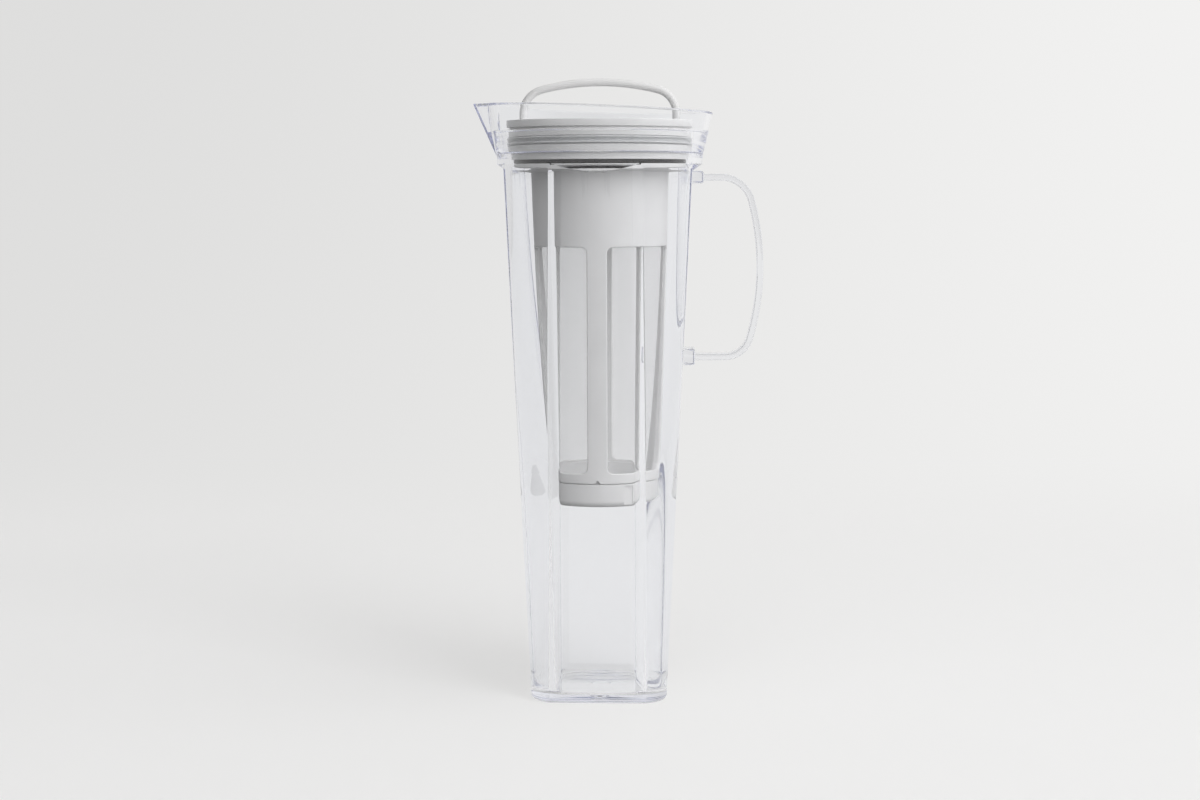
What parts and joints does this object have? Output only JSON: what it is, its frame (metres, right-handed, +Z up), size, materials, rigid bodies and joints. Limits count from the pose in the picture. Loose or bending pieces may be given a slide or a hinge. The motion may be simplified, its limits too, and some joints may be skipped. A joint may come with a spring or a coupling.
{
  "type": "cold brew coffee pitcher",
  "caption": "Tall clear tapering jug with a funnel mouth, spout and side handle, a plug lid with a folding bail, and a mesh strainer that hangs in the neck.",
  "frame": {"origin": "middle of the base, on the surface that the jug stands on", "axes": "+Z up along the jug's axis, -X towards the spout, +X towards the handle, -Y towards the viewer"},
  "size_m": [0.1407, 0.1106, 0.2999],
  "materials": {
    "clear_jug": "clear, polished, faintly blue at the edges",
    "grey_plastic": "light grey, fine satin moulding",
    "grey_bail": "light grey, satin",
    "silicone": "translucent soft white",
    "dark_silicone": "black, soft, slightly glossy",
    "nylon_mesh": "fine plain woven nylon mesh, translucent white"
  },
  "bodies": {
    "jug": {"jug_body": "clear_jug", "jug_handle": "clear_jug"},
    "strainer": {"strainer_frame": "grey_plastic", "mesh_front_left": "nylon_mesh", "mesh_front_right": "nylon_mesh", "mesh_rear_right": "nylon_mesh", "mesh_rear_left": "nylon_mesh"},
    "base_cap": {"strainer_base": "grey_plastic"},
    "lid": {"lid_cover": "grey_plastic", "lid_gasket": "silicone", "lid_seal": "dark_silicone"},
    "bail": {"lid_bail": "grey_bail"}
  },
  "joints": [
    {"name": "strainer_lift", "type": "slide", "parent": "jug", "child": "strainer", "axis": [0, 0, 1], "range_m": [0, 0.21]},
    {"name": "lid_lift", "type": "slide", "parent": "strainer", "child": "lid", "axis": [0, 0, 1], "range_m": [0, 0.06]},
    {"name": "bail_fold", "type": "hinge", "parent": "lid", "child": "bail", "pos_m": [0, 0, 0.2765], "axis": [1, 0, 0], "range_deg": [-90, 90]},
    {"name": "base_pull", "type": "slide", "parent": "strainer", "child": "base_cap", "axis": [0, 0, -1], "range_m": [0, 0.008]}
  ]
}
